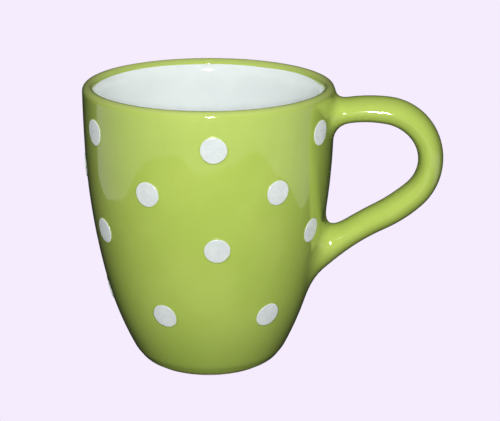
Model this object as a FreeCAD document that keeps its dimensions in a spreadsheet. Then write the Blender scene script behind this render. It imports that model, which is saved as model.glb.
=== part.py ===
"""A glazed stoneware mug with a pulled handle and raised white dots, as a parametric FreeCAD document.

The frame is in millimetres: +Z is up, the origin is on the mug's axis where its foot meets the table, and
the handle points towards +X. Clay, soft joints and glaze were fired into one mug, but each is made here as
the separate piece it was before: the thrown body, the handle, the two joints that were smoothed round the
handle's ends, the green coat, the white lining, the coat in the foot's recess and every raised dot.

The wall is a chain of tangent arcs and so is the handle's centre line. A coat of glaze is what lies between
a shape and the same shape drawn a coat's thickness inside it.
"""

import FreeCAD
import Part
import Sketcher

import math
import os

# Driving dimensions of the glazed mug: alias, value in millimetres or degrees, and what it is.
SIZES = [
    ("rim_radius", 47.5, "outside radius of the rim"),
    ("rim_round", 2.2, "radius of the rim's rounded edge, half the thickness of the wall"),
    ("rim_height", 107.2, "height of the centre of that rounding"),
    ("upper_radius", 632.0, "radius of the wall's upper arc, which starts upright at the rim"),
    ("upper_turn", 1.9, "turn of the upper arc"),
    ("belly_radius", 266.0, "radius of the wall's belly arc"),
    ("belly_turn", 11.34, "turn of the belly arc"),
    ("lower_radius", 132.4, "radius of the wall's lower arc"),
    ("lower_turn", 12.74, "turn of the lower arc"),
    ("heel_radius", 14.2, "radius of the arc that turns in to the foot"),
    ("heel_turn", 32.0, "turn of the heel arc down to the foot ring"),
    ("wiped_turn", 27.0, "turn of the heel arc where the green glaze was wiped off"),
    ("ring_outer", 24.4, "outer radius of the foot ring on the table"),
    ("ring_inner", 20.6, "inner radius of the foot ring on the table"),
    ("recess_radius", 19.6, "radius of the ceiling of the recess inside the ring"),
    ("recess_depth", 1.8, "height of that ceiling"),
    ("floor_height", 6.4, "height of the inside floor"),
    ("floor_corner", 14.0, "radius of the inside corner between floor and wall"),
    ("glaze", 0.4, "thickness of every coat of glaze"),
    ("grip_out", 40.7, "distance from the axis to the start of the handle's centre line"),
    ("grip_up", 96.6, "height of that start"),
    ("grip_angle", 24.3, "rise of the centre line at that start"),
    ("crown_radius", 50.0, "radius of the handle's crown, just past the upper joint"),
    ("crown_turn", 31.7, "turn of the crown"),
    ("bow_radius", 18.9, "radius of the handle's bow, its outer bend"),
    ("bow_turn", 129.1, "turn of the bow"),
    ("flank_radius", 58.9, "radius of the flank below the bow"),
    ("flank_turn", 15.2, "turn of the flank"),
    ("tail_radius", 115.0, "radius of the handle's tail, which bends down to the lower joint"),
    ("tail_turn", 20.9, "turn of the tail"),
    ("grip_half", 4.9, "half thickness of the handle, in its own plane"),
    ("grip_width", 8.1, "half width of the handle, across its own plane"),
    ("upper_blend", 2.8, "radius smoothed round the upper joint"),
    ("lower_blend", 2.4, "radius smoothed round the lower joint"),
    ("joint_split", 72.0, "a height between the two joints"),
    ("dot_radius", 4.7, "radius of a raised dot"),
    ("dot_raise", 0.35, "how far a dot stands out of the green coat"),
]

# Rows of dots, from the rim down: name, height, and the angle of the first dot from the handle. Each row has
# six places round the wall, and EMPTY names the place in the handle's finger gap, which has no dot.
DOT_ROWS = [
    ("top", 96.2, 36.5),
    ("upper", 78.1, 9.4),
    ("middle", 58.5, 37.5),
    ("lower", 28.7, 12.0),
]
DOTS_PER_ROW = 6
EMPTY = {("upper", 0)}

# Dots painted off their place: degrees round the wall and millimetres up.
WANDER = {
    ("top", 1): (-2.0, 0.6),
    ("top", 4): (3.1, -0.4),
    ("upper", 2): (1.8, -0.7),
    ("middle", 1): (-1.5, -0.4),
    ("middle", 4): (3.7, -0.7),
    ("middle", 5): (-2.8, 0.3),
    ("lower", 2): (2.2, 0.4),
    ("lower", 4): (0.2, 0.5),
    ("lower", 5): (-0.5, -0.5),
}

SHEET = "Sizes"


def make_sheet(doc):
    """The spreadsheet of driving dimensions."""
    sheet = doc.addObject("Spreadsheet::Sheet", SHEET)
    for line, (alias, value, note) in enumerate(SIZES, start=1):
        sheet.set(f"A{line}", note)
        sheet.set(f"B{line}", repr(value))
        sheet.setAlias(f"B{line}", alias)
    doc.recompute()
    return sheet


def cell(alias):
    """How an expression names a cell."""
    return f"<<{SHEET}>>.{alias}"


def origin_plane(body, role):
    return next(feature for feature in body.Origin.OriginFeatures if feature.Role == role)


class Arc:
    """A circular arc in a half plane of the axis. Angles are in degrees, from outwards towards up."""

    def __init__(self, x, y, radius, start, end):
        self.x = x
        self.y = y
        self.radius = radius
        self.start = start
        self.end = end

    def point(self, angle):
        turn = math.radians(angle)
        return self.x + self.radius * math.cos(turn), self.y + self.radius * math.sin(turn)

    def offset(self, distance):
        return Arc(self.x, self.y, self.radius + distance, self.start, self.end)

    def reversed(self):
        return Arc(self.x, self.y, self.radius, self.end, self.start)


class Outline:
    """A sketch drawn end to end, whose radii, turns and places are bound to the sheet."""

    def __init__(self, body, name, plane):
        self.sketch = body.newObject("Sketcher::SketchObject", name)
        self.sketch.AttachmentSupport = [(origin_plane(body, plane), "")]
        self.sketch.MapMode = "FlatFace"
        self.first = None
        self.last = None

    def bind(self, constraint, expression):
        index = self.sketch.addConstraint(constraint)
        self.sketch.setExpression(f"Constraints[{index}]", expression)

    def join(self, index, enter, leave, tangent):
        """Joins the entering end of a new piece to the leaving end of the last one."""
        if self.last is None:
            self.first = (index, enter)
        else:
            kind = "Tangent" if tangent else "Coincident"
            self.sketch.addConstraint(Sketcher.Constraint(kind, *self.last, index, enter))
        self.last = (index, leave)

    def line(self, start, end):
        ends = [FreeCAD.Vector(x, y, 0) for x, y in (start, end)]
        index = self.sketch.addGeometry(Part.LineSegment(*ends))
        self.join(index, 1, 2, False)
        return index

    def arc(self, arc, radius, turn=None, tangent=True):
        """Draws an Arc from its start to its end. radius and turn are expressions."""
        circle = Part.Circle(FreeCAD.Vector(arc.x, arc.y, 0), FreeCAD.Vector(0, 0, 1), arc.radius)
        low, high = sorted((arc.start, arc.end))
        index = self.sketch.addGeometry(Part.ArcOfCircle(circle, math.radians(low), math.radians(high)))
        enter, leave = (1, 2) if arc.end > arc.start else (2, 1)
        self.join(index, enter, leave, tangent)
        self.bind(Sketcher.Constraint("Radius", index, arc.radius), radius)
        if turn:
            self.bind(Sketcher.Constraint("Angle", index, math.radians(high - low)), turn)
        return index

    def close(self):
        self.sketch.addConstraint(Sketcher.Constraint("Coincident", *self.last, *self.first))

    def place(self, index, vertex, x=None, y=None):
        """Binds a point's distance from the axis and its height to expressions."""
        point = self.sketch.getPoint(index, vertex)
        if x:
            self.bind(Sketcher.Constraint("DistanceX", -1, 1, index, vertex, point.x), x)
        if y:
            self.bind(Sketcher.Constraint("DistanceY", -1, 1, index, vertex, point.y), y)

    def on_axis(self, index, vertex):
        self.sketch.addConstraint(Sketcher.Constraint("PointOnObject", index, vertex, -2))

    def level(self, index, one, other):
        self.sketch.addConstraint(Sketcher.Constraint("Horizontal", index, one, index, other))


class Wall:
    """The wall of the glazed mug: tangent arcs down the outside, from the rim to the foot ring."""

    ARCS = ("upper", "belly", "lower", "heel")

    def __init__(self, sheet):
        self.sheet = sheet
        self.arcs = []
        x, y, angle = sheet.rim_radius, sheet.rim_height, 0.0
        for name in self.ARCS:
            radius = sheet.get(f"{name}_radius")
            turn = math.radians(angle)
            centre = (x - radius * math.cos(turn), y - radius * math.sin(turn))
            arc = Arc(*centre, radius, angle, angle - sheet.get(f"{name}_turn"))
            x, y = arc.point(arc.end)
            angle = arc.end
            self.arcs.append(arc)

    def rim(self):
        """The rounded edge, from the inside over to the outside."""
        sheet = self.sheet
        return Arc(sheet.rim_radius - sheet.rim_round, sheet.rim_height, sheet.rim_round, 180.0, 0.0)

    def surface(self, height):
        """The point of the wall at a height, and the angle of its normal."""
        for arc in self.arcs:
            sine = (height - arc.y) / arc.radius
            if abs(sine) <= 1 and arc.end <= math.degrees(math.asin(sine)) <= arc.start:
                angle = math.degrees(math.asin(sine))
                return arc.point(angle), angle
        raise ValueError(f"the wall has no point at height {height}")

    def inside(self, skin):
        """The arcs up the inside, from the floor's corner to the rim, moved outwards by skin millimetres."""
        upper, belly, lower = (arc.offset(skin - 2 * self.sheet.rim_round) for arc in self.arcs[:3])
        radius = self.sheet.floor_corner + skin
        y = self.sheet.floor_height - skin + radius
        x = lower.x + math.sqrt((lower.radius - radius) ** 2 - (y - lower.y) ** 2)
        meet = math.degrees(math.atan2(y - lower.y, x - lower.x))
        corner = Arc(x, y, radius, -90.0, meet)
        lower = Arc(lower.x, lower.y, lower.radius, meet, lower.start)
        return corner, lower, belly.reversed(), upper.reversed()


def draw_core(outline, wall, skin, value, heel_turn):
    """From the axis across the mouth, over the rim and down the outside, value millimetres outside the
    glaze. skin is that distance as an expression. Returns the heel arc, whose first point is its low end."""
    sheet = wall.sheet
    rim = wall.rim().offset(value)
    mouth = outline.line((0.0, rim.y), rim.point(180.0))
    outline.on_axis(mouth, 1)
    outline.level(mouth, 1, 2)
    edge = outline.arc(rim, f"{cell('rim_round')} + {skin}", tangent=False)
    outline.place(edge, 3, f"{cell('rim_radius')} - {cell('rim_round')}", cell("rim_height"))
    outline.level(edge, 3, 1)
    outline.level(edge, 3, 2)
    for name, arc in zip(wall.ARCS, wall.arcs):
        turn = heel_turn if name == "heel" else f"{name}_turn"
        shown = Arc(arc.x, arc.y, arc.radius + value, arc.start, arc.start - sheet.get(turn))
        heel = outline.arc(shown, f"{cell(name + '_radius')} + {skin}", cell(turn))
    return heel


def turn_round(doc, body, outline):
    """Turns the outline once round the upright axis."""
    doc.recompute()
    turned = body.newObject("PartDesign::Revolution", f"{body.Name}_turned")
    turned.Profile = outline.sketch
    turned.ReferenceAxis = (outline.sketch, ["V_Axis"])
    turned.Angle = 360.0
    doc.recompute()
    return turned


def make_clay_core(doc, body, wall, skin, value):
    """The clay as if the cup were full: its outside, the foot ring and the recess."""
    sheet = wall.sheet
    outline = Outline(body, f"{body.Name}_profile", "YZ_Plane")
    heel = draw_core(outline, wall, skin, value, "heel_turn")
    low = outline.sketch.getPoint(heel, 1)
    slope = outline.line((low.x, low.y), (sheet.ring_outer, 0.0))
    outline.place(slope, 2, cell("ring_outer"), "0")
    ring = outline.line((sheet.ring_outer, 0.0), (sheet.ring_inner, 0.0))
    outline.place(ring, 2, cell("ring_inner"), "0")
    step = outline.line((sheet.ring_inner, 0.0), (sheet.recess_radius, sheet.recess_depth))
    outline.place(step, 2, cell("recess_radius"), cell("recess_depth"))
    ceiling = outline.line((sheet.recess_radius, sheet.recess_depth), (0.0, sheet.recess_depth))
    outline.on_axis(ceiling, 2)
    outline.level(ceiling, 1, 2)
    outline.line((0.0, sheet.recess_depth), (0.0, sheet.rim_height))
    outline.close()
    return turn_round(doc, body, outline)


def make_glazed_core(doc, body, wall, skin, value):
    """The outside of the glazed mug down to where its glaze ends, closed by a cone inside the clay floor."""
    sheet = wall.sheet
    outline = Outline(body, f"{body.Name}_profile", "YZ_Plane")
    heel = draw_core(outline, wall, skin, value, "wiped_turn")
    low = outline.sketch.getPoint(heel, 1)
    clay = wall.arcs[-1].offset(-sheet.glaze).point(wall.arcs[-1].start - sheet.wiped_turn)
    edge = outline.line((low.x, low.y), clay)
    outline.sketch.addConstraint(Sketcher.Constraint("PointOnObject", heel, 3, edge))
    outline.bind(Sketcher.Constraint("Distance", edge, value + sheet.glaze), f"{cell('glaze')} + {skin}")
    middle = (sheet.recess_depth + sheet.floor_height) / 2
    cone = outline.line(clay, (0.0, middle))
    outline.on_axis(cone, 2)
    outline.place(cone, 2, y=f"({cell('recess_depth')} + {cell('floor_height')}) / 2")
    outline.line((0.0, middle), (0.0, sheet.rim_height))
    outline.close()
    return turn_round(doc, body, outline)


def make_hollow(doc, name, wall, skin, value):
    """The space in the cup, from its floor up to the centre of the rim's rounding."""
    body = doc.addObject("PartDesign::Body", name)
    outline = Outline(body, f"{name}_profile", "YZ_Plane")
    corner, lower, belly, upper = wall.inside(value)
    floor = outline.line((0.0, corner.y - corner.radius), (corner.x, corner.y - corner.radius))
    outline.on_axis(floor, 1)
    outline.level(floor, 1, 2)
    outline.place(floor, 2, y=f"{cell('floor_height')} - ({skin})")
    thick = f"2 * {cell('rim_round')}"
    outline.arc(corner, f"{cell('floor_corner')} + {skin}")
    outline.arc(lower, f"{cell('lower_radius')} - {thick} + {skin}")
    outline.arc(belly, f"{cell('belly_radius')} - {thick} + {skin}", cell("belly_turn"))
    last = outline.arc(upper, f"{cell('upper_radius')} - {thick} + {skin}", cell("upper_turn"))
    outline.level(last, 3, 2)
    outline.place(last, 2, f"{cell('rim_radius')} - {thick} + {skin}", cell("rim_height"))
    mouth = outline.line(upper.point(0.0), (0.0, wall.sheet.rim_height))
    outline.on_axis(mouth, 2)
    outline.level(mouth, 1, 2)
    outline.line((0.0, wall.sheet.rim_height), (0.0, corner.y - corner.radius))
    outline.close()
    turn_round(doc, body, outline)
    return body


def make_grip_path(body, sheet):
    """The handle's centre line, from inside the wall at the upper joint to inside it at the lower one."""
    path = Outline(body, f"{body.Name}_path", "XZ_Plane")
    x, y, heading = sheet.grip_out, sheet.grip_up, sheet.grip_angle
    for name, side in (("crown", -1), ("bow", -1), ("flank", -1), ("tail", 1)):
        radius = sheet.get(f"{name}_radius")
        start = heading - side * 90.0
        out = math.radians(start)
        centre = (x - radius * math.cos(out), y - radius * math.sin(out))
        arc = Arc(*centre, radius, start, start + side * sheet.get(f"{name}_turn"))
        index = path.arc(arc, cell(f"{name}_radius"), cell(f"{name}_turn"))
        if name == "crown":
            path.place(index, 2, cell("grip_out"), cell("grip_up"))
            rise = f"{cell('crown_radius')} * sin({cell('grip_angle')} * 1 deg)"
            path.place(index, 3, f"{cell('grip_out')} + {rise}")
        x, y = arc.point(arc.end)
        heading = arc.end + side * 90.0
    return path.sketch


def make_grip_section(body, sheet, skin, value):
    """The oval that runs along the handle's centre line."""
    section = body.newObject("Sketcher::SketchObject", f"{body.Name}_section")
    section.AttachmentSupport = [(origin_plane(body, "YZ_Plane"), "")]
    section.MapMode = "FlatFace"
    tilt = FreeCAD.Rotation(FreeCAD.Vector(1, 0, 0), -sheet.grip_angle)
    section.AttachmentOffset = FreeCAD.Placement(FreeCAD.Vector(0, sheet.grip_up, sheet.grip_out), tilt)
    section.setExpression("AttachmentOffset.Base.y", cell("grip_up"))
    section.setExpression("AttachmentOffset.Base.z", cell("grip_out"))
    wide = FreeCAD.Vector(sheet.grip_width + value, 0, 0)
    thick = FreeCAD.Vector(0, sheet.grip_half + value, 0)
    oval = section.addGeometry(Part.Ellipse(wide, thick, FreeCAD.Vector(0, 0, 0)))
    section.exposeInternalGeometry(oval)
    section.addConstraint(Sketcher.Constraint("Coincident", oval, 3, -1, 1))
    section.addConstraint(Sketcher.Constraint("Horizontal", oval + 1))
    for line, half in ((oval + 1, "grip_width"), (oval + 2, "grip_half")):
        size = Sketcher.Constraint("Distance", line, 2 * (sheet.get(half) + value))
        index = section.addConstraint(size)
        section.setExpression(f"Constraints[{index}]", f"2 * ({cell(half)} + {skin})")
    return section


def on_wall(point, wall, value):
    tolerance = 0.02
    (radius, _), normal = wall.surface(point.z)
    gap = (math.hypot(point.x, point.y) - radius) * math.cos(math.radians(normal))
    return abs(gap - value) < tolerance


def root_edges(shape, wall, low, high, value):
    """The edges round one end of the handle: those between two heights that lie on the wall beside it."""
    reach = wall.sheet.grip_width + wall.sheet.upper_blend
    names = []
    for number, edge in enumerate(shape.Edges, start=1):
        points = [] if edge.Degenerated else edge.discretize(Number=9)
        near = points and all(low < p.z < high and p.x > 0 and abs(p.y) < reach for p in points)
        if near and all(on_wall(p, wall, value) for p in points):
            names.append(f"Edge{number}")
    return names


def smooth_joint(doc, body, blend, base, edges, skin):
    """Rounds the corner between the wall and one end of the handle."""
    fillet = body.newObject("PartDesign::Fillet", f"{body.Name}_{blend}")
    fillet.Base = (base, edges)
    fillet.setExpression("Radius", f"{cell(blend)} - ({skin})")
    doc.recompute()
    return fillet


def make_whole(doc, name, wall, make_core, skin, value):
    """The mug as if its cup were full, value millimetres outside the glaze. Returns the body's stages: the
    core, the core with the handle, and both with smooth joints between them."""
    sheet = wall.sheet
    body = doc.addObject("PartDesign::Body", name)
    core = make_core(doc, body, wall, skin, value)
    path = make_grip_path(body, sheet)
    section = make_grip_section(body, sheet, skin, value)
    doc.recompute()
    grip = body.newObject("PartDesign::AdditivePipe", f"{name}_grip")
    grip.Profile = section
    grip.Spine = (path, [])
    doc.recompute()
    edges = root_edges(grip.Shape, wall, sheet.joint_split, sheet.rim_height, value)
    upper = smooth_joint(doc, body, "upper_blend", grip, edges, skin)
    edges = root_edges(upper.Shape, wall, sheet.recess_depth, sheet.joint_split, value)
    lower = smooth_joint(doc, body, "lower_blend", upper, edges, skin)
    return core, grip, lower


def cut(doc, label, base, tool):
    """What is left of base without tool."""
    piece = doc.addObject("Part::Cut", label)
    piece.Label = label
    piece.Base = base
    piece.Tool = tool
    return piece


def make_recess_coat(doc):
    """The disc of glaze on the ceiling of the recess."""
    disc = doc.addObject("Part::Cylinder", "recess_glaze")
    disc.Label = "recess_glaze"
    disc.setExpression("Radius", cell("recess_radius"))
    disc.setExpression("Height", cell("glaze"))
    disc.setExpression("Placement.Base.z", f"{cell('recess_depth')} - {cell('glaze')}")
    return disc


def split_joints(doc, sheet, joints):
    """The upper joint and the lower one, told apart by height."""
    above = doc.addObject("Part::Box", "above_joint_split")
    for side in ("Length", "Width", "Height"):
        above.setExpression(side, f"4 * {cell('rim_radius')}")
    for side in ("x", "y"):
        above.setExpression(f"Placement.Base.{side}", f"-2 * {cell('rim_radius')}")
    above.setExpression("Placement.Base.z", cell("joint_split"))
    upper = doc.addObject("Part::Common", "upper_joint")
    upper.Label = "upper_joint"
    upper.Base = joints
    upper.Tool = above
    return [upper, cut(doc, "lower_joint", joints, above)]


def make_dot(doc, label, wall, band, height, angle):
    """One raised white dot: a round patch of the band just outside the green coat."""
    depth = 4 * wall.sheet.glaze
    (radius, level), normal = wall.surface(height)
    swing = FreeCAD.Rotation(FreeCAD.Vector(0, 0, 1), angle)
    lean = FreeCAD.Rotation(FreeCAD.Vector(0, 1, 0), 90.0 - normal)
    outwards = swing.multVec(lean.multVec(FreeCAD.Vector(0, 0, 1)))
    middle = swing.multVec(FreeCAD.Vector(radius, 0, level))
    punch = doc.addObject("Part::Cylinder", f"{label}_punch")
    punch.setExpression("Radius", cell("dot_radius"))
    punch.setExpression("Height", f"8 * {cell('glaze')}")
    punch.Placement = FreeCAD.Placement(middle - outwards * depth, swing * lean)
    dot = doc.addObject("Part::Common", label)
    dot.Label = label
    dot.Base = band
    dot.Tool = punch
    return dot


def make_dots(doc, wall, band):
    dots = []
    for row, height, first in DOT_ROWS:
        for place in range(DOTS_PER_ROW):
            if (row, place) not in EMPTY:
                around, up = WANDER.get((row, place), (0.0, 0.0))
                angle = first + place * 360.0 / DOTS_PER_ROW + around
                dots.append(make_dot(doc, f"{row}_dot_{place + 1}", wall, band, height + up, angle))
    return dots


def check(doc, pieces):
    """Stops if any object failed to compute or any piece is not one sound solid."""
    for thing in doc.Objects:
        if "Invalid" in thing.State or "Error" in thing.State:
            raise RuntimeError(f"{thing.Label} did not compute: {thing.State}")
    for piece in pieces:
        shape = piece.Shape
        if shape.isNull() or not shape.isValid() or len(shape.Solids) != 1:
            raise RuntimeError(f"{piece.Label} is not one valid solid")


def main():
    doc = FreeCAD.newDocument("mug")
    sheet = make_sheet(doc)
    wall = Wall(sheet)
    glaze = cell("glaze")
    bare = f"-1 * {glaze}"

    clay = make_whole(doc, "clay_whole", wall, make_clay_core, bare, -sheet.glaze)
    glazed = make_whole(doc, "glazed_whole", wall, make_glazed_core, "0", 0.0)
    clay_hollow = make_hollow(doc, "clay_hollow", wall, glaze, sheet.glaze)
    cup = make_hollow(doc, "cup", wall, "0", 0.0)
    dotted = doc.addObject("PartDesign::Body", "dotted_core")
    make_glazed_core(doc, dotted, wall, cell("dot_raise"), sheet.dot_raise)

    clay_core, clay_grip, clay_smooth = clay
    glazed_core, _, glazed_smooth = glazed
    pieces = [
        cut(doc, "clay_body", clay_core, clay_hollow),
        cut(doc, "handle", clay_grip, clay_core),
        cut(doc, "green_glaze", glazed_smooth, clay_smooth),
        cut(doc, "white_lining", clay_hollow, cup),
        make_recess_coat(doc),
    ]
    pieces += split_joints(doc, sheet, cut(doc, "both_joints", clay_smooth, clay_grip))
    pieces += make_dots(doc, wall, cut(doc, "dot_band", dotted, glazed_core))
    doc.recompute()

    check(doc, pieces)
    os.makedirs("parts", exist_ok=True)
    for piece in pieces:
        piece.Shape.exportStep(os.path.join("parts", f"{piece.Label}.step"))
        print(f"{piece.Label}: {piece.Shape.Volume:.0f} mm3")


main()
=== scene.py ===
"""Looks of a green glazed mug with raised white dots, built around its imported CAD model.

The frame is the CAD's: +Z is up, the mug stands on the origin and its handle points towards +X. Sizes here
are in millimetres and degrees. They are those of the CAD model, and a potter's unevenness is added to them.
Meshes are made in metres. The glaze is one skin over wall and handle, so its two joints are filled with a
smooth corner instead of a fixed radius.
"""

import math
import random

import bpy
import numpy as np
from mathutils import Matrix, Vector


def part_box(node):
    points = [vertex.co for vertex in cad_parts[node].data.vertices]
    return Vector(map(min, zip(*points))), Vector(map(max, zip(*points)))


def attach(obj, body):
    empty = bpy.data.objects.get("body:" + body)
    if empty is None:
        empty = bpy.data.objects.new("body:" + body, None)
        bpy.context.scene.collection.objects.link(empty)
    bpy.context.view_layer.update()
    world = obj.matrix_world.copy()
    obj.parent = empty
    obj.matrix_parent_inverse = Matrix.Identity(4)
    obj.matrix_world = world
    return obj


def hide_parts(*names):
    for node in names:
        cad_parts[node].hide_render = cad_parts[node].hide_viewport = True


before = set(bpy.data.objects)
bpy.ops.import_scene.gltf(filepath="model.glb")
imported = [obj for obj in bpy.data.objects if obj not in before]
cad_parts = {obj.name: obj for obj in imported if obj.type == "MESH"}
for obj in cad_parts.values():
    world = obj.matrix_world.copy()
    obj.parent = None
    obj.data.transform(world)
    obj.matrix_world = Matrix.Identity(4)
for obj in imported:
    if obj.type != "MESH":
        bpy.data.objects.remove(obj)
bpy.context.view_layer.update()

METRES = 0.001

# The wall of the glazed mug: the rim's rounding, and (radius, turn) of each arc from the rim down.
RIM_RADIUS = 47.5
RIM_ROUND = 2.2
RIM_HEIGHT = 107.2
WALL_TURNS = [(632.0, 1.9), (266.0, 11.34), (132.4, 12.74), (14.2, 32.0)]
WIPED_TURN = 27.0
FLOOR_HEIGHT = 6.4
FLOOR_CORNER = 14.0
GLAZE = 0.4

# The thrown wall stands slightly out of true, in waves: (depth, number round the wall, shift in radians, and
# the height in which the wave leans by one radian).
OUT_OF_TRUE = [(0.09, 2, 0.7, 70.0), (0.035, 5, -1.1, -23.0), (0.02, 9, 2.0, 15.0)]

# The wall is thicker just inside the rim, by this much. On either side that fades, from a length with none
# of it to one with all of it. Both are measured from where the rim's rounding starts.
LIP_RAISE = 1.0
LIP_IN = (-18.0, -4.0)
LIP_OUT = (1.5, -3.5)

# The green coat's edge on the rim: how far past the start of the rounding it lies, how much further back it
# is beside the handle and within what angle in radians, and its waves as (depth, number, shift in radians).
EDGE_PAST = 0.4
EDGE_BACK = 1.1
EDGE_BESIDE = 0.45
EDGE_WAVES = [(0.10, 3, 1.0), (0.06, 8, 2.0)]

# The lining's end under the green coat: how far it runs, how deep it sinks and along what length.
LAP = 0.5
LAP_SINK = 0.06
LAP_ALONG = 1.5

# The bead of glaze above the wiped edge: its height, how far back it lies from the edge, and its width.
BEAD_RAISE = 0.22
BEAD_BACK = 1.2
BEAD_WIDTH = 1.3

# The foot ring and the recess inside it.
RING_OUTER = 24.4
RING_INNER = 20.6
RECESS_RADIUS = 19.6
RECESS_DEPTH = 1.8
FOOT_SOFTENED = 0.45

# The glaze in the recess: how far it bites into the clay, the corners of its edge as (distance beyond the
# recess's radius, height over the glaze's face), and how far all its corners are softened.
RECESS_BITE = 0.05
RECESS_EDGE = [(0.45, -0.5), (-0.5, -0.05), (-1.6, 0.0)]
RECESS_SOFTENED = 0.12

# The handle: its centre line as (radius, turn, side), where side is -1 for a turn towards the finger gap.
GRIP_START = (40.7, 96.6)
GRIP_ANGLE = 24.3
GRIP_TURNS = [(50.0, 31.7, -1), (18.9, 129.1, -1), (58.9, 15.2, -1), (115.0, 20.9, 1)]
GRIP_HALF = 4.9
GRIP_WIDTH = 8.1

# The pulled handle swells and thins along its length: by how much, where it is thickest, and how often.
SWELL = 0.18
SWELL_AT = 34.8
SWELL_EVERY = 41.0

# It is a little thicker in its tail: by how much, and where that begins and is complete.
TAIL_GAIN = 0.35
TAIL_FROM = 60.0
TAIL_FULL = 120.0

# Grids: vertices round the wall, the handle and a dot, rows in the stretches of a skin, the usual size of a
# face, and the radius inside which a disc is filled with a grid.
AROUND_WALL = 192
AROUND_GRIP = 72
AROUND_DOT = 64
RIM_ROWS = 13
HEEL_ROWS = 12
ROOT_ROWS = 13
LINING_ROWS = 90
CLAY_ROWS = 150
FACE = 1.5
FLOOR_FILL = 12.0

# How far round each root of the handle the mesh is evened out, and in how many rounds.
ROOT_REACH = 32.0
EVEN_ROUNDS = 50

# A raised dot: its radius and height. The rest are shares: how much it is domed, its rounded border, the
# range of its size, its largest ovalness, its lumps, and the rings of its mesh.
DOT_RADIUS = 4.72
DOT_RAISE = 0.4
DOT_DOMED = 0.2
DOT_FLANK = 0.09
DOT_SIZES = (0.975, 1.035)
DOT_OVAL = 0.025
DOT_LUMP = 0.008
DOT_ROWS = [0.55, 0.68, 0.78, 0.86, 0.91, 0.935, 0.955, 0.972, 0.986, 0.996, 1.0]

# The glaze that pooled round a dot: its section, as shares of the dot's radius and lifts off the wall.
POOL = [
    (0.96, -0.15),
    (0.98, 0.10),
    (1.005, 0.07),
    (1.03, 0.04),
    (1.06, 0.015),
    (1.10, -0.01),
    (1.11, -0.15),
]


class Outline:
    """Tangent arcs drawn end to end, as points at any length along them.

    An arc is (x, y, radius, start, end, lifted): its centre, its angles, and +1 where a point lifted off
    the clay moves away from the centre, or -1 where it moves towards it.
    """

    def __init__(self, arcs):
        self.arcs = np.array(arcs, float)
        lengths = self.arcs[:, 2] * np.radians(np.abs(self.arcs[:, 4] - self.arcs[:, 3]))
        self.ends = np.cumsum(lengths)
        self.starts = self.ends - lengths

    def at(self, length, lift=0.0):
        """Distance from the axis and height at lengths along the outline, lifted off the clay."""
        length, lift = np.broadcast_arrays(np.asarray(length, float), lift)
        which = np.clip(np.searchsorted(self.ends, length), 0, len(self.arcs) - 1)
        x, y, radius, start, end, lifted = np.moveaxis(self.arcs[which], -1, 0)
        angle = np.radians(start) + np.sign(end - start) * (length - self.starts[which]) / radius
        reach = radius + lifted * lift
        return x + reach * np.cos(angle), y + reach * np.sin(angle)


def chain(x, y, heading, turns):
    """Arcs that follow on from one another: each turns to the side of the last one's end."""
    arcs = []
    for radius, turn, side in turns:
        start = heading - side * 90.0
        centre = (x - radius * math.cos(math.radians(start)), y - radius * math.sin(math.radians(start)))
        end = start + side * turn
        arcs.append((*centre, radius, start, end, -side))
        x = centre[0] + radius * math.cos(math.radians(end))
        y = centre[1] + radius * math.sin(math.radians(end))
        heading += side * turn
    return arcs


def cup_arcs(wall):
    """The arcs up the inside of the cup, from the edge of its flat floor to the rim."""
    upper, belly, lower = (
        (x, y, radius - 2 * RIM_ROUND, end, start, -1) for x, y, radius, start, end, _ in wall[:3]
    )
    x, y, radius = lower[:3]
    centre_y = FLOOR_HEIGHT + FLOOR_CORNER
    centre_x = x + math.sqrt((radius - FLOOR_CORNER) ** 2 - (centre_y - y) ** 2)
    meet = math.degrees(math.atan2(centre_y - y, centre_x - x))
    corner = (centre_x, centre_y, FLOOR_CORNER, -90.0, meet, -1)
    return [corner, (x, y, radius, meet, lower[4], -1), belly, upper]


WALL_ARCS = chain(RIM_RADIUS, RIM_HEIGHT, -90.0, [(radius, turn, -1) for radius, turn in WALL_TURNS])
RIM_ARC = (RIM_RADIUS - RIM_ROUND, RIM_HEIGHT, RIM_ROUND, 180.0, 0.0, 1)
CUP_ARCS = cup_arcs(WALL_ARCS)
GRIP_ARCS = chain(*GRIP_START, GRIP_ANGLE, GRIP_TURNS)

CUP = Outline([*CUP_ARCS, RIM_ARC, *WALL_ARCS])
RIM_START = CUP.starts[4]
WALL_START = CUP.starts[5]
WALL_END = CUP.starts[8] + WALL_TURNS[3][0] * math.radians(WIPED_TURN)
GRIP = Outline(GRIP_ARCS)


def eased(value, start, end):
    """How far a value is on its way from start to end, from 0 to 1, with a gentle start and end."""
    share = np.clip((value - start) / (end - start), 0, 1)
    return share**2 * (3 - 2 * share)


def hand_made(turn, height):
    """How far the thrown wall stands out of true, in millimetres, at angles and heights."""
    return sum(
        depth * np.sin(number * turn + shift + height / lean) for depth, number, shift, lean in OUT_OF_TRUE
    )


def on_wall(turn, out, up):
    """Points at angles round the axis, at distances from it and heights."""
    out = out + hand_made(turn, up)
    return np.stack(np.broadcast_arrays(out * np.cos(turn), out * np.sin(turn), up), axis=-1)


def lip(length):
    """How much thicker the wall is just inside the rim, where it was pressed over, at lengths along CUP."""
    past = length - RIM_START
    return LIP_RAISE * eased(past, *LIP_IN) * eased(past, *LIP_OUT)


def turns(count):
    """Angles evenly spaced round a full turn."""
    return np.arange(count) * 2 * math.pi / count


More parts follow.
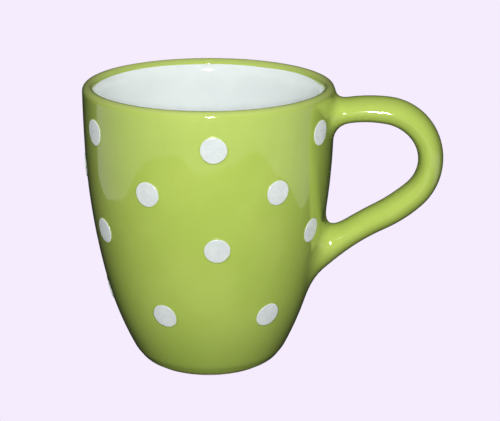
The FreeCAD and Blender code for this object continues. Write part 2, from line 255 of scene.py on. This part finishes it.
class Skin:
    """The points and faces of a mesh, gathered stretch by stretch."""

    def __init__(self):
        self.points = np.zeros((0, 3))
        self.faces = []

    def add(self, points):
        """Adds an array of points, and returns their numbers in the same array shape."""
        first = len(self.points)
        self.points = np.concatenate([self.points, points.reshape(-1, 3)])
        return np.arange(first, len(self.points)).reshape(points.shape[:-1])

    def band(self, rows):
        """Faces between closed rows of points, which face outwards where the rows go up."""
        for near, far in zip(rows[:-1], rows[1:]):
            self.faces += list(zip(near, np.roll(near, -1), np.roll(far, -1), far))

    def fill(self, ring, place, facing):
        """Fills a closed row of points with a grid of quads. place gives the points of a unit disc, and
        facing is 1 where the grid faces the side that its row goes round anticlockwise, or else -1."""
        side = len(ring) // 4
        steps = math.sqrt(2) * np.sin(np.linspace(-math.pi / 4, math.pi / 4, side + 1))
        across, along = np.meshgrid(steps, steps, indexing="ij")
        x = across * np.sqrt(1 - along**2 / 2)
        y = along * np.sqrt(1 - across**2 / 2)
        grid = np.full((side + 1, side + 1), -1)
        edge = [(side, i) for i in range(side)] + [(side - i, side) for i in range(side)]
        edge += [(0, side - i) for i in range(side)] + [(i, 0) for i in range(side)]
        for spot, number in zip(edge, np.roll(ring, side // 2)):
            grid[spot] = number
        inner = grid < 0
        grid[inner] = self.add(place(x[inner], y[inner]))
        for i in range(side):
            for j in range(side):
                face = (grid[i, j], grid[i + 1, j], grid[i + 1, j + 1], grid[i, j + 1])
                self.faces.append(face[::facing])

    def fill_level(self, ring, facing):
        """Fills a closed row of points round the axis, all at one height and not quite in a circle."""
        edge_x, edge_y, height = self.points[ring].T
        edge_turn = np.arctan2(edge_y, edge_x)
        edge_radius = np.hypot(edge_x, edge_y)

        def place(x, y):
            radius = np.interp(np.arctan2(y, x), edge_turn, edge_radius, period=math.tau)
            return np.stack([radius * x, radius * y, height.mean() + 0 * x], axis=-1)

        self.fill(ring, place, facing)

    def normals(self):
        """The outward direction at each point."""
        faces = np.array(self.faces)
        corners = self.points[faces]
        across = np.cross(corners[:, 2] - corners[:, 0], corners[:, 3] - corners[:, 1])
        total = np.zeros_like(self.points)
        for corner in range(4):
            np.add.at(total, faces[:, corner], across)
        return total / np.maximum(np.linalg.norm(total, axis=1), 1e-9)[:, None]

    def piece(self, name, slot, material, *nodes):
        """The mesh as a smooth Blender object that rides on the mug and stands for CAD nodes."""
        mesh = bpy.data.meshes.new(name)
        used, faces = np.unique(np.array(self.faces), return_inverse=True)
        mesh.from_pydata((self.points[used] * METRES).tolist(), [], faces.reshape(-1, 4).tolist())
        mesh.shade_smooth()
        mesh.materials.append(material)
        thing = bpy.data.objects.new(name, mesh)
        bpy.context.scene.collection.objects.link(thing)
        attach(thing, "root")
        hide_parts(*nodes)


# The green coat: wall, handle and the filled corners between them.


class Root:
    """One end of the handle, and the window in the wall's grid that it grows out of.

    arc is the handle's arc there, and on_top says whether its outer side faces up. finger and outer are how
    widely the corner is filled on the side of the finger gap and on the other. reach is the length along the
    handle where the corner is over. row, rows and half are the window's first row, its number of rows and
    half its number of columns.
    """

    def __init__(self, arc, on_top, finger, outer, reach, row, rows, half):
        self.arc = GRIP_ARCS[arc]
        self.start = GRIP.starts[arc]
        self.on_top = on_top
        self.finger = finger
        self.outer = outer
        self.reach = reach
        self.row = row
        self.rows = rows
        self.half = half


ROOTS = [
    Root(arc=0, on_top=True, finger=5.8, outer=5.0, reach=20.0, row=13, rows=16, half=10),
    Root(arc=3, on_top=False, finger=8.5, outer=3.8, reach=GRIP.ends[3] - 32.0, row=50, rows=18, half=9),
]


def wall_distance(points):
    """Signed distance outside the wall."""
    up = points[:, 2]
    out = np.hypot(points[:, 0], points[:, 1]) - hand_made(np.arctan2(points[:, 1], points[:, 0]), up)
    distance = np.hypot(out - RIM_ARC[0], up - RIM_ARC[1]) - RIM_ROUND
    for x, y, radius, start, _, _ in WALL_ARCS:
        beside = np.degrees(np.arctan2(up - y, out - x)) <= start
        distance = np.where(beside, np.hypot(out - x, up - y) - radius, distance)
    return distance


def outwards_of_grip(points, arc):
    """How far points are outwards of the handle's centre line, in its plane, beside one of its arcs."""
    x, y, radius, _, _, lifted = arc
    return lifted * (np.hypot(points[:, 0] - x, points[:, 2] - y) - radius)


def grip_half(length):
    """Half the handle's thickness at lengths along its centre line."""
    wave = SWELL * np.cos(2 * math.pi * (length - SWELL_AT) / SWELL_EVERY)
    return GRIP_HALF + wave + TAIL_GAIN * eased(length, TAIL_FROM, TAIL_FULL)


def grip_distance(points, root):
    """Signed distance outside the handle beside a root's arc, true near its surface."""
    x, y, radius, start, _, _ = root.arc
    turned = np.arctan2(points[:, 2] - y, points[:, 0] - x) - math.radians(start)
    half = grip_half(root.start + radius * np.abs(np.angle(np.exp(1j * turned))))
    thick = outwards_of_grip(points, root.arc) / half
    wide = points[:, 1] / GRIP_WIDTH
    level = np.maximum(np.hypot(thick, wide), 0.05)
    return (level - 1) * level / np.maximum(np.hypot(thick / half, wide / GRIP_WIDTH), 1e-6)


def joint_distance(points, root):
    """Signed distance outside the wall and the handle's end, with the corner between them filled."""
    wall = wall_distance(points)
    grip = grip_distance(points, root)
    outer_share = eased(outwards_of_grip(points, root.arc), -GRIP_HALF, GRIP_HALF)
    fill = root.finger + (root.outer - root.finger) * outer_share
    near = np.clip(fill - np.abs(wall - grip), 0, None) / fill
    return np.minimum(wall, grip) - near**2 * fill / 4


def settle(points, root, rounds):
    """Moves points onto the surface of a filled joint."""
    step = 0.01
    for _ in range(rounds):
        value = joint_distance(points, root)
        rises = []
        for way in np.eye(3) * step:
            rises.append(joint_distance(points + way, root) - joint_distance(points - way, root))
        slope = np.stack(rises, axis=1) / (2 * step)
        points = points - slope * (value / (slope**2).sum(axis=1))[:, None]
    return points


def window_ring(grid, root):
    """The points round a root's window, in the order of the handle's rings."""
    half, first, last = root.half, root.row, root.row + root.rows
    spots = [(first, column) for column in range(half)]
    spots += [(row, half) for row in range(first, last)]
    spots += [(last, column) for column in range(half, -half, -1)]
    spots += [(row, -half) for row in range(last, first, -1)]
    spots += [(first, column) for column in range(-half, 0)]
    ring = np.array([grid[spot] for spot in spots])
    return ring if root.on_top else np.roll(ring[::-1], AROUND_GRIP // 2 + 1)


def in_window(row, column, root):
    """Whether a face of the wall's grid is left out for a root of the handle."""
    from_handle = (column + AROUND_WALL // 2) % AROUND_WALL - AROUND_WALL // 2
    return 0 <= row - root.row < root.rows and -root.half <= from_handle < root.half


def grip_points(lengths):
    """Rings round the handle at lengths along its centre line. Each starts on its outer side."""
    turn = turns(AROUND_GRIP)
    x, z = GRIP.at(lengths[:, None], grip_half(lengths)[:, None] * np.cos(turn))
    y = np.broadcast_to(GRIP_WIDTH * np.sin(turn), x.shape)
    return np.stack([x, y, z], axis=-1)


def coat_edge(turn):
    """How far over the rim's rounding the green coat starts, as a length. It runs into the cup beside the
    handle, and wavers elsewhere."""
    beside_handle = np.exp(-((np.angle(np.exp(1j * turn)) / EDGE_BESIDE) ** 2))
    waves = sum(depth * np.sin(number * turn + shift) for depth, number, shift in EDGE_WAVES)
    return EDGE_PAST - EDGE_BACK * beside_handle + waves


def coat_grid():
    """The points of the green coat on the wall, in rows from inside the rim to the wiped edge."""
    turn = turns(AROUND_WALL)
    edge = RIM_START + coat_edge(turn)
    rim = edge + (WALL_START - edge) * np.linspace(0, 1, RIM_ROWS)[:, None]
    wall = np.arange(WALL_START + FACE, WALL_END - 4 * FACE, FACE)
    heel = np.linspace(wall[-1], WALL_END, HEEL_ROWS)[1:]
    down = np.concatenate([wall, heel])[:, None] + 0 * turn
    lengths = np.concatenate([rim, down])
    bead = BEAD_RAISE * np.exp(-(((lengths - WALL_END + BEAD_BACK) / BEAD_WIDTH) ** 2))
    return on_wall(turn, *CUP.at(lengths, bead + lip(lengths)))


def even_out(skin, grid, rings):
    """Lays the points round each root on the filled corner and spreads them evenly."""
    faces = np.array(skin.faces)
    sides = np.concatenate([faces[:, [corner, (corner + 1) % 4]] for corner in range(4)])
    near, far = np.unique(np.sort(sides, axis=1), axis=0).T
    ties = np.bincount(np.concatenate([near, far]), minlength=len(skin.points))[:, None]
    held = np.zeros(len(skin.points), bool)
    held[grid[: RIM_ROWS // 2].ravel()] = True
    held[rings.ravel()] = True
    held |= ties[:, 0] == 0
    still = held.copy()
    still[grid[:RIM_ROWS].ravel()] = True
    for root in ROOTS:
        middle = skin.points[window_ring(grid, root)].mean(axis=0)
        close = np.linalg.norm(skin.points - middle, axis=1) < ROOT_REACH
        lies = close & ~held
        loose = close & ~still
        skin.points[lies] = settle(skin.points[lies], root, 4)
        for _ in range(EVEN_ROUNDS):
            total = np.zeros_like(skin.points)
            np.add.at(total, near, skin.points[far])
            np.add.at(total, far, skin.points[near])
            skin.points[loose] = settle(total[loose] / ties[loose], root, 1)
        skin.points[loose] = settle(skin.points[loose], root, 2)


def round_edge(skin, outer, inner, away):
    """Joins the two layers of a coat round its edge. away are the points of the row before the edge."""
    middle = (skin.points[outer] + skin.points[inner]) / 2
    half = skin.points[outer] - middle
    ahead = skin.points[outer] - skin.points[away]
    ahead /= np.linalg.norm(ahead, axis=1)[:, None]
    ahead *= np.linalg.norm(half, axis=1)[:, None]
    rows = [outer]
    for angle in np.radians([30, 60, 90, 120, 150]):
        rows.append(skin.add(middle + half * math.cos(angle) + ahead * math.sin(angle)))
    return [*rows, inner]


def make_green_coat(material):
    """The green skin of glaze: over the rim, down the wall to its wiped edge, and along the handle."""
    skin = Skin()
    grid = skin.add(coat_grid())
    for row in range(len(grid) - 1):
        for column in range(AROUND_WALL):
            if not any(in_window(row, column, root) for root in ROOTS):
                beside = (column + 1) % AROUND_WALL
                near, far = grid[row], grid[row + 1]
                skin.faces.append((near[column], far[column], far[beside], near[beside]))

    upper, lower = ROOTS
    count = round((lower.reach - upper.reach) / FACE)
    rings = skin.add(grip_points(np.linspace(upper.reach, lower.reach, count)))
    skin.band(rings[:, ::-1])
    for root, ring in ((upper, rings[0]), (lower, rings[-1])):
        window = window_ring(grid, root)
        share = np.linspace(0, 1, ROOT_ROWS)[1:-1, None, None]
        between = skin.points[window] * (1 - share) + skin.points[ring] * share
        between = skin.add(np.stack([settle(row, root, 8) for row in between]))
        rows = np.concatenate([window[None], between, ring[None]])
        skin.band(rows[:, ::-1] if root.on_top else rows)
    even_out(skin, grid, rings)

    inner = skin.add(skin.points - GLAZE * skin.normals())
    skin.faces += [tuple(inner[list(face)])[::-1] for face in skin.faces]
    skin.band(round_edge(skin, grid[-1], inner[grid[-1]], grid[-2])[::-1])
    skin.band(round_edge(skin, grid[0], inner[grid[0]], grid[1]))
    skin.piece("green_coat", "green_glaze", material, "green_glaze")


# The other pieces that are turned round the axis.


def make_white_coat(material):
    """The white lining of the cup. Its top end runs a little way under the green coat."""
    skin = Skin()
    turn = turns(AROUND_WALL)
    floor = np.linspace(FLOOR_FILL, CUP_ARCS[0][0], 4)[:-1, None] + 0 * turn
    end = RIM_START + coat_edge(turn) + LAP
    lengths = end * np.linspace(0, 1, LINING_ROWS)[:, None]
    under = LAP_SINK * np.clip(1 - (end - lengths) / LAP_ALONG, 0, 1)
    thick = lip(lengths)
    shown = [on_wall(turn, floor, FLOOR_HEIGHT), on_wall(turn, *CUP.at(lengths, thick - under))]
    hidden = [on_wall(turn, floor, FLOOR_HEIGHT - GLAZE), on_wall(turn, *CUP.at(lengths, thick - GLAZE))]
    shown = skin.add(np.concatenate(shown))
    hidden = skin.add(np.concatenate(hidden))
    skin.band(shown[::-1])
    skin.band(hidden)
    skin.band(round_edge(skin, shown[-1], hidden[-1], shown[-2])[::-1])
    skin.fill_level(shown[0], 1)
    skin.fill_level(hidden[0], -1)
    skin.piece("white_coat", "white_glaze", material, "white_lining")


def softened(corners, cut):
    """A line through corners whose edges are cut off by smooth curves."""
    corners = np.array(corners, float)
    line = [corners[0]]
    for before, corner, after in zip(corners[:-2], corners[1:-1], corners[2:]):
        enter = corner + cut * (before - corner) / np.linalg.norm(before - corner)
        leave = corner + cut * (after - corner) / np.linalg.norm(after - corner)
        for share in np.linspace(0, 1, 6):
            line.append((1 - share) ** 2 * enter + 2 * share * (1 - share) * corner + share**2 * leave)
    return np.array([*line, corners[-1]])


def make_clay_vessel(material):
    """The thrown clay under the coats, which shows on the foot ring and in the wiped band above it."""
    skin = Skin()
    turn = turns(AROUND_WALL)
    heel_end = CUP.at(CUP.ends[8], -GLAZE)
    ring = [(FLOOR_FILL, RECESS_DEPTH), (RECESS_RADIUS, RECESS_DEPTH), (RING_INNER, 0.0), (RING_OUTER, 0.0)]
    foot = softened([*ring, heel_end], FOOT_SOFTENED)
    lengths = np.linspace(CUP.ends[8], 0, CLAY_ROWS)
    out, up = CUP.at(lengths, lip(lengths) - GLAZE)
    out = np.concatenate([foot[:-1, 0], out, [FLOOR_FILL]])
    up = np.concatenate([foot[:-1, 1], up, [FLOOR_HEIGHT - GLAZE]])
    rows = skin.add(on_wall(turn, out[:, None], up[:, None]))
    skin.band(rows)
    skin.fill_level(rows[0], -1)
    skin.fill_level(rows[-1], 1)
    skin.piece("clay_vessel", "clay", material, "clay_body")


def make_recess_coat(material):
    """The green glaze in the foot's recess, drawn up a little round its edge."""
    skin = Skin()
    turn = turns(AROUND_WALL)
    high = RECESS_DEPTH + RECESS_BITE
    low = RECESS_DEPTH - GLAZE
    top = [(FLOOR_FILL, high), (RECESS_RADIUS, high)]
    edge = [(RECESS_RADIUS + out, low + up) for out, up in RECESS_EDGE]
    out, up = softened([*top, *edge, (FLOOR_FILL, low)], RECESS_SOFTENED).T
    rows = skin.add(on_wall(turn, out[:, None], up[:, None]))
    skin.band(rows[::-1])
    skin.fill_level(rows[0], 1)
    skin.fill_level(rows[-1], -1)
    skin.piece("recess_coat", "green_glaze", material, "recess_glaze")


# The raised dots.


class Dot:
    """The place and outline of a raised dot: where the CAD has it, and not quite round."""

    def __init__(self, node, chance):
        low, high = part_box(node)
        middle = (low + high) / 2 / METRES
        self.node = node
        self.turn = math.atan2(middle.y, middle.x)
        lengths = np.linspace(WALL_START, WALL_END, 400)
        self.length = np.interp(-middle.z, -CUP.at(lengths)[1], lengths)
        self.radius = DOT_RADIUS * chance.uniform(*DOT_SIZES)
        self.oval = chance.uniform(0.0, DOT_OVAL)
        self.lean = chance.uniform(0, math.pi)
        self.lump = chance.uniform(0, math.tau)

    def place(self, x, y, lift):
        """Points on the wall, from those of a unit disc, lifted off the glaze."""
        angle = np.arctan2(y, x)
        oval = self.oval * np.cos(2 * (angle - self.lean))
        size = self.radius * (1 + oval + DOT_LUMP * np.cos(3 * angle + self.lump))
        out, up = CUP.at(self.length - y * size, lift)
        return on_wall(self.turn + x * size / out, out, up)

    def rings(self, rows):
        """Closed rows of points, from rows of (share of the radius, lift)."""
        around = turns(AROUND_DOT)
        share, lift = np.array(rows).T[:, :, None]
        return self.place(share * np.cos(around), share * np.sin(around), lift)


def dome(x, y):
    """How high a dot stands at points of a unit disc: nearly flat, with a rounded border."""
    reach = np.hypot(x, y)
    flank = np.clip((reach - 1 + DOT_FLANK) / DOT_FLANK, 0, 1)
    domed = 1 - DOT_DOMED + DOT_DOMED * np.clip(1 - reach**2, 0, 1)
    return DOT_RAISE * domed * np.sqrt(1 - flank**2)


def make_dot(dot, material):
    """A raised white dot, whose underside is sunk in the green coat."""
    skin = Skin()
    reach = np.array(DOT_ROWS)
    shown = skin.add(dot.rings(np.stack([reach, dome(reach, 0 * reach)], axis=1)))
    hidden = skin.add(dot.rings([(share, -GLAZE / 2) for share in DOT_ROWS]))
    skin.band(shown[::-1])
    skin.band(hidden)
    skin.band(np.stack([hidden[-1], shown[-1]]))
    first = reach[0]
    skin.fill(shown[0], lambda x, y: dot.place(first * x, first * y, dome(first * x, first * y)), 1)
    skin.fill(hidden[0], lambda x, y: dot.place(first * x, first * y, -GLAZE / 2), -1)
    skin.piece(f"white_{dot.node}", "white_dot", material, dot.node)


def make_pools(dots, material):
    """The green glaze that pooled round the dots' edges."""
    skin = Skin()
    for dot in dots:
        rings = skin.add(dot.rings(POOL))
        skin.band(np.concatenate([rings, rings[:1]])[::-1])
    skin.piece("glaze_pools", "green_glaze", material)


# Materials. Each reads the object's own coordinates, in metres in the mug's frame. The sizes of patches, the
# heights and the depths of bumps are given in millimetres.


class Paint:
    """A node material that is built up from its textures."""

    def __init__(self, name, ior=1.5):
        self.material = bpy.data.materials.new(name)
        self.material.use_nodes = True
        self.tree = self.material.node_tree
        self.shader = self.tree.nodes["Principled BSDF"]
        self.shader.inputs["IOR"].default_value = ior
        self.place = self.node("ShaderNodeTexCoord").outputs["Object"]

    def node(self, kind, settings=None, **inputs):
        """A node with its settings, whose inputs are values or other nodes' outputs."""
        made = self.tree.nodes.new(kind)
        for name, value in (settings or {}).items():
            setattr(made, name, value)
        for name, value in inputs.items():
            label = name.replace("_", " ")
            socket = next(each for each in made.inputs if each.enabled and each.name == label)
            if isinstance(value, bpy.types.NodeSocket):
                self.tree.links.new(value, socket)
            else:
                socket.default_value = value
        return made

    def noise(self, size, detail=2.0, low=0.35, high=0.65):
        """Smooth random patches of a size in millimetres, from 0 to 1."""
        scale = 1 / (size * METRES)
        patches = self.node("ShaderNodeTexNoise", Vector=self.place, Scale=scale, Detail=detail)
        return self.between(patches.outputs["Fac"], low, high)

    def between(self, value, low, high):
        """How far a value is on its way from low to high, from 0 to 1, with a gentle start and end."""
        settings = {"interpolation_type": "SMOOTHSTEP"}
        spread = self.node("ShaderNodeMapRange", settings, Value=value, From_Min=low, From_Max=high)
        return spread.outputs["Result"]

    def height(self, low, high):
        """How high a point is from low to high millimetres, from 0 to 1."""
        up = self.node("ShaderNodeSeparateXYZ", Vector=self.place).outputs["Z"]
        return self.between(up, low * METRES, high * METRES)

    def scaled(self, value, factor, offset=0.0):
        """A value times a factor, plus an offset."""
        made = self.node("ShaderNodeMath", {"operation": "MULTIPLY_ADD"})
        self.tree.links.new(value, made.inputs[0])
        made.inputs[1].default_value = factor
        made.inputs[2].default_value = offset
        return made.outputs["Value"]

    def mix(self, factor, one, other):
        """One colour turning into the other as factor goes from 0 to 1."""
        colours = [(*each, 1.0) if isinstance(each, tuple) else each for each in (one, other)]
        settings = {"data_type": "RGBA", "clamp_factor": True}
        return self.node("ShaderNodeMix", settings, Factor=factor, A=colours[0], B=colours[1]).outputs[2]

    def bump(self, height, depth, below=None):
        """Raises the surface by up to depth millimetres where height is 1."""
        made = self.node("ShaderNodeBump", Height=height, Strength=1.0, Distance=depth * METRES)
        if below:
            self.tree.links.new(below, made.inputs["Normal"])
        return made.outputs["Normal"]

    def finish(self, colour, roughness, normal):
        """Feeds the shader with what was built, and returns the material."""
        self.tree.links.new(colour, self.shader.inputs["Base Color"])
        self.tree.links.new(roughness, self.shader.inputs["Roughness"])
        self.tree.links.new(normal, self.shader.inputs["Normal"])
        return self.material


def green_glaze():
    """Glossy lime green. It turns a darker, deeper green towards the foot, and is thin over the rim."""
    paint = Paint("green_glaze", ior=1.52)
    paint.shader.inputs["Coat Weight"].default_value = 1.0
    paint.shader.inputs["Coat Roughness"].default_value = 0.05
    cloud = paint.noise(26.0, detail=3.0)
    colour = paint.mix(cloud, (0.440, 0.580, 0.102), (0.480, 0.615, 0.120))
    grain = paint.noise(1.3, detail=3.0, low=0.3, high=0.7)
    colour = paint.mix(paint.scaled(grain, 0.10), colour, (0.38, 0.53, 0.08))
    # Darker towards the foot: over the lowest 34 mm the green shifts towards a deep, dark green.
    near_foot = paint.height(34.0, 0.0)
    colour = paint.mix(paint.scaled(near_foot, 0.45), colour, (0.32, 0.46, 0.07))
    over_rim = paint.height(106.8, 109.4)
    colour = paint.mix(paint.scaled(over_rim, 0.6), colour, (0.47, 0.54, 0.19))
    roughness = paint.scaled(paint.noise(9.0), 0.04, offset=0.05)
    swell = paint.bump(paint.noise(11.0, detail=1.0, low=0.0, high=1.0), depth=0.03)
    normal = paint.bump(paint.noise(1.1, low=0.0, high=1.0), depth=0.0012, below=swell)
    return paint.finish(colour, roughness, normal)


def pooled_glaze():
    """The green glaze where it pooled: thicker, so deeper in colour, and with a softer shine."""
    paint = Paint("pooled_glaze", ior=1.52)
    colour = paint.mix(paint.noise(3.0, detail=3.0), (0.36, 0.48, 0.075), (0.42, 0.55, 0.09))
    roughness = paint.scaled(paint.noise(4.0), 0.06, offset=0.31)
    swell = paint.bump(paint.noise(1.1, low=0.0, high=1.0), depth=0.004)
    return paint.finish(colour, roughness, swell)


def white_glaze():
    """The cup's lining: glossy white, a little cool, with faint clouds."""
    paint = Paint("white_glaze")
    paint.shader.inputs["Diffuse Roughness"].default_value = 0.15
    colour = paint.mix(paint.noise(18.0, detail=3.0), (0.745, 0.795, 0.785), (0.775, 0.825, 0.81))
    grain = paint.noise(1.1, low=0.3, high=0.7)
    colour = paint.mix(paint.scaled(grain, 0.12), colour, (0.70, 0.745, 0.735))
    roughness = paint.scaled(paint.noise(8.0), 0.05, offset=0.06)
    swell = paint.bump(paint.noise(9.0, detail=1.0, low=0.0, high=1.0), depth=0.025)
    return paint.finish(colour, roughness, swell)


def white_dot():
    """Raised white slip under a thin glaze: a softer shine than the lining's, with fine grain."""
    paint = Paint("white_dot")
    paint.shader.inputs["Diffuse Roughness"].default_value = 0.4
    colour = paint.mix(paint.noise(3.5, detail=3.0), (0.645, 0.69, 0.685), (0.69, 0.735, 0.725))
    grain = paint.noise(0.5, low=0.3, high=0.7)
    colour = paint.mix(paint.scaled(grain, 0.15), colour, (0.58, 0.63, 0.61))
    roughness = paint.scaled(paint.noise(2.0), 0.06, offset=0.26)
    swell = paint.bump(paint.noise(2.2, detail=1.0, low=0.0, high=1.0), depth=0.02)
    return paint.finish(colour, roughness, swell)


def bare_clay():
    """Fired stoneware: buff, matt and gritty, with dark and pale specks."""
    paint = Paint("clay")
    colour = paint.mix(paint.noise(6.0, detail=4.0), (0.56, 0.46, 0.34), (0.66, 0.56, 0.43))
    dark_specks = paint.noise(0.55, detail=1.0, low=0.62, high=0.68)
    colour = paint.mix(dark_specks, colour, (0.26, 0.17, 0.10))
    pale_specks = paint.noise(0.9, detail=1.0, low=0.66, high=0.72)
    colour = paint.mix(pale_specks, colour, (0.78, 0.72, 0.62))
    roughness = paint.scaled(paint.noise(1.0), 0.12, offset=0.78)
    normal = paint.bump(paint.noise(0.4, detail=4.0, low=0.2, high=0.8), depth=0.06)
    return paint.finish(colour, roughness, normal)


# Floor, lights and camera.

# The pale of floor and backdrop, half the floor's width, and how far below the foot it lies.
PALE = (0.913, 0.839, 0.982)
FLOOR_HALF = 6000.0
FLOOR_GAP = 0.05

# The camera: its angles, what it looks at to the right of the axis and above the floor, and its lens.
CAMERA_AZIMUTH = 6.0
CAMERA_ELEVATION = 17.886
CAMERA_ROLL = 0.187
CAMERA_AIM = (15.72, 58.80)
CAMERA_DISTANCE = 544.27
CAMERA_LENS = 101.05

# The pale table round the dark mat: its mean inner radius, that edge's waves as (depth, number round) and
# its ripple likewise, its outer radius, how far round it goes to the camera's left and right, its
# brightness, and the number of points along each edge.
SURROUND_NEAR = 283.0
SURROUND_WAVES = [(47.0, 2), (-44.0, 4)]
SURROUND_RIPPLE = (9.0, 11)
SURROUND_FAR = 1600.0
SURROUND_LEFT = -114.0
SURROUND_RIGHT = 104.0
SURROUND_GLOW = 0.45
SURROUND_STEPS = 96

# The dark room: its colour and strength.
ROOM = (0.9, 0.95, 1.0)
ROOM_GLOW = 0.015

# The height that the lamps look at, and each lamp's name, azimuth, elevation, distance, size and watts, and
# whether the glaze reflects it.
LAMP_AIM = 55.0
LAMPS = [
    ("flash", 8.5, 19.5, 545.0, 60.0, 2.92, True),
    ("back_fill", 186.0, 40.0, 700.0, 150.0, 1.6, False),
    ("top_fill", 6.0, 80.0, 600.0, 200.0, 0.75, False),
    ("left_fill", 276.0, 20.0, 700.0, 300.0, 0.4, False),
    ("right_fill", 96.0, 20.0, 700.0, 300.0, 0.4, False),
]


def plain(name, colour, strength):
    """A surface that gives off an even light."""
    material = bpy.data.materials.new(name)
    material.use_nodes = True
    tree = material.node_tree
    tree.nodes.clear()
    glow = tree.nodes.new("ShaderNodeEmission")
    glow.inputs["Color"].default_value = (*colour, 1.0)
    glow.inputs["Strength"].default_value = strength
    output = tree.nodes.new("ShaderNodeOutputMaterial")
    tree.links.new(glow.outputs["Emission"], output.inputs["Surface"])
    return material


def make_sheet(name, points, faces, material):
    """A flat stage piece through points in millimetres."""
    mesh = bpy.data.meshes.new(name)
    mesh.from_pydata([Vector(point) * METRES for point in points], [], faces)
    mesh.materials.append(material)
    thing = bpy.data.objects.new(name, mesh)
    bpy.context.scene.collection.objects.link(thing)
    return thing


def make_floor():
    """The plain pale floor, just clear of the foot. It lights nothing and isn't reflected by the mug."""
    sides = [(-1, -1), (1, -1), (1, 1), (-1, 1)]
    corners = [(x * FLOOR_HALF, y * FLOOR_HALF, -FLOOR_GAP) for x, y in sides]
    floor = make_sheet("floor", corners, [(0, 1, 2, 3)], plain("pale_floor", PALE, 1.0))
    floor.visible_diffuse = False
    floor.visible_glossy = False
    floor.visible_shadow = False


def make_pale_surround():
    """The pale table beyond a dark mat, which only the glaze sees, as a broad soft reflection."""
    depth, number = SURROUND_RIPPLE
    points = []
    for turn in np.radians(np.linspace(SURROUND_LEFT, SURROUND_RIGHT, SURROUND_STEPS)):
        direction = away(CAMERA_AZIMUTH + math.degrees(turn), 0.0)
        near = SURROUND_NEAR + depth * math.sin(number * turn)
        near += sum(high * math.cos(count * turn) for high, count in SURROUND_WAVES)
        points += [direction * near, direction * SURROUND_FAR]
    faces = [(2 * i, 2 * i + 1, 2 * i + 3, 2 * i + 2) for i in range(SURROUND_STEPS - 1)]
    surround = make_sheet("surround", points, faces, plain("pale_surround", PALE, SURROUND_GLOW))
    surround.visible_camera = False
    surround.visible_diffuse = False
    surround.visible_shadow = False


def make_world():
    """The dark room round the mug, which the camera sees as a pale backdrop."""
    world = bpy.data.worlds.new("studio")
    bpy.context.scene.world = world
    world.use_nodes = True
    tree = world.node_tree
    dim = tree.nodes["Background"]
    dim.inputs["Color"].default_value = (*ROOM, 1.0)
    dim.inputs["Strength"].default_value = ROOM_GLOW
    pale = tree.nodes.new("ShaderNodeBackground")
    pale.inputs["Color"].default_value = (*PALE, 1.0)
    path = tree.nodes.new("ShaderNodeLightPath")
    mix = tree.nodes.new("ShaderNodeMixShader")
    tree.links.new(path.outputs["Is Camera Ray"], mix.inputs["Fac"])
    tree.links.new(dim.outputs["Background"], mix.inputs[1])
    tree.links.new(pale.outputs["Background"], mix.inputs[2])
    tree.links.new(mix.outputs["Shader"], tree.nodes["World Output"].inputs["Surface"])


def away(azimuth, elevation):
    """The direction from the mug to a camera at those angles."""
    turn, rise = math.radians(azimuth), math.radians(elevation)
    return Vector((math.sin(turn) * math.cos(rise), -math.cos(turn) * math.cos(rise), math.sin(rise)))


def make_lamp(name, azimuth, elevation, distance, size, watts, glossy):
    """A round soft light that looks at the middle of the mug."""
    data = bpy.data.lights.new(name, "AREA")
    data.shape = "DISK"
    data.size = size * METRES
    data.energy = watts
    lamp = bpy.data.objects.new(name, data)
    direction = away(azimuth, elevation)
    lamp.location = (Vector((0.0, 0.0, LAMP_AIM)) + direction * distance) * METRES
    lamp.rotation_euler = direction.to_track_quat("Z", "Y").to_euler()
    lamp.visible_glossy = glossy
    bpy.context.scene.collection.objects.link(lamp)


def make_camera():
    """The camera, which looks down a little, from a few degrees towards the handle's side."""
    back = away(CAMERA_AZIMUTH, CAMERA_ELEVATION)
    right = Vector((math.cos(math.radians(CAMERA_AZIMUTH)), math.sin(math.radians(CAMERA_AZIMUTH)), 0.0))
    up = back.cross(right)
    roll = math.radians(CAMERA_ROLL)
    across = right * math.cos(roll) + up * math.sin(roll)
    upright = up * math.cos(roll) - right * math.sin(roll)
    place = right * CAMERA_AIM[0] + Vector((0.0, 0.0, CAMERA_AIM[1])) + back * CAMERA_DISTANCE
    data = bpy.data.cameras.new("camera")
    data.sensor_width = 36.0
    data.lens = CAMERA_LENS
    data.clip_start = 0.05
    data.clip_end = 50.0
    camera = bpy.data.objects.new("camera", data)
    axes = Matrix((across, upright, back)).transposed().to_4x4()
    camera.matrix_world = Matrix.Translation(place * METRES) @ axes
    bpy.context.scene.collection.objects.link(camera)
    bpy.context.scene.camera = camera


green = green_glaze()
clay = bare_clay()
slip = white_dot()
make_green_coat(green)
make_recess_coat(green)
make_white_coat(white_glaze())
make_clay_vessel(clay)
chance = random.Random(7)
dots = [Dot(node, chance) for node in sorted(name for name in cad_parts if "_dot_" in name)]
for dot in dots:
    make_dot(dot, slip)
make_pools(dots, pooled_glaze())
for name in ("handle", "upper_joint", "lower_joint"):
    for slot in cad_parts[name].material_slots:
        slot.material = clay

make_floor()
make_pale_surround()
make_world()
for lamp in LAMPS:
    make_lamp(*lamp)
make_camera()
bpy.context.scene.view_settings.view_transform = "Standard"
